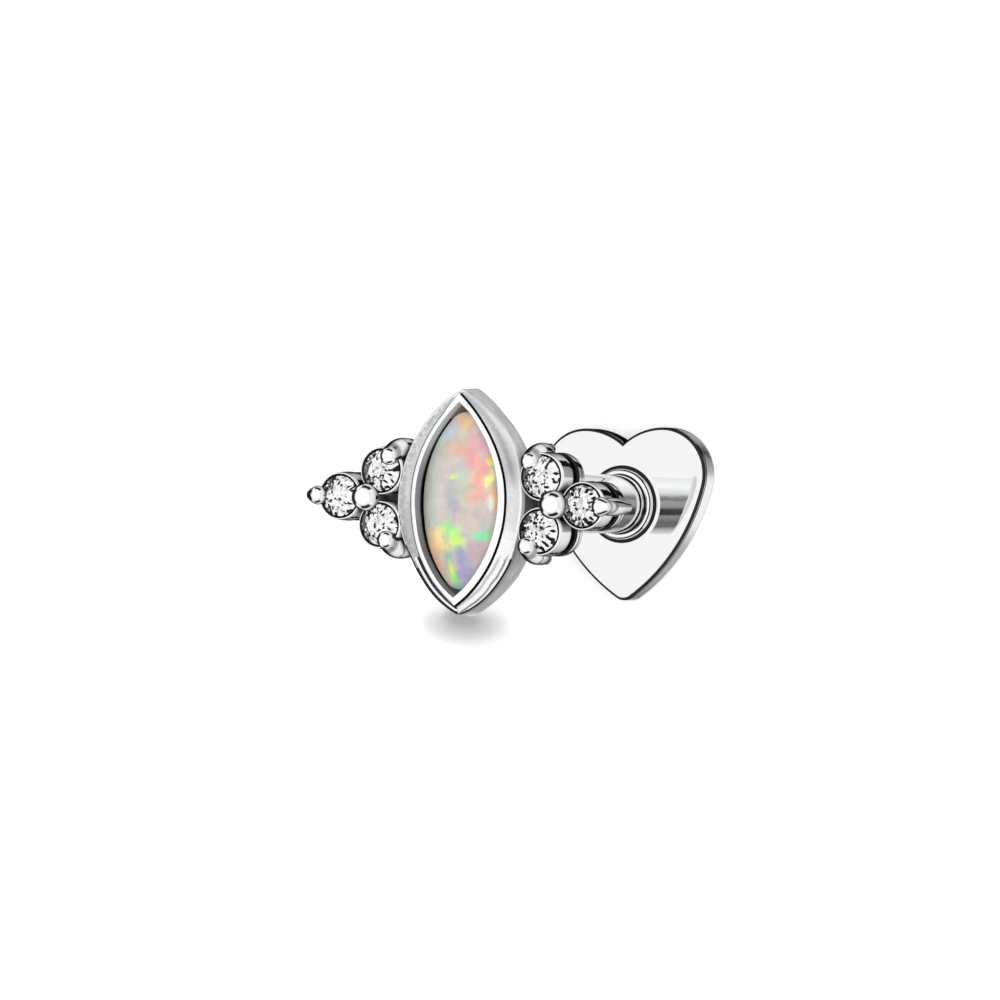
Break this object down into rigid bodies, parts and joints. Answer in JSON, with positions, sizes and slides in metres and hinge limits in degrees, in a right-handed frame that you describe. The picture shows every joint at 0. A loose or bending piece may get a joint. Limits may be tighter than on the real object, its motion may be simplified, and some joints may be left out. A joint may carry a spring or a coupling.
{
  "type": "flat back cartilage stud",
  "caption": "Labret-style stud: bezel-set marquise opal between trefoils of round stones, on a straight post with a heart-shaped flat back.",
  "frame": {"origin": "on the post's axis at the back face of the heart, which the stud stands on", "axes": "+Z along the post from the heart to the head's front, +Y along the marquise towards the heart's lobes, +X to the viewer's right when the head is seen from the front"},
  "size_m": [0.0068, 0.0045, 0.0078],
  "materials": {
    "back_metal": "polished",
    "setting_metal": "polished",
    "opal": "polished",
    "clear_stone": "polished"
  },
  "bodies": {
    "root": {"heart_back": "back_metal", "head_setting": "setting_metal", "opal": "opal", "stone_right_upper": "clear_stone", "stone_right_lower": "clear_stone", "stone_right_outer": "clear_stone", "stone_left_upper": "clear_stone", "stone_left_lower": "clear_stone", "stone_left_outer": "clear_stone"}
  },
  "joints": []
}
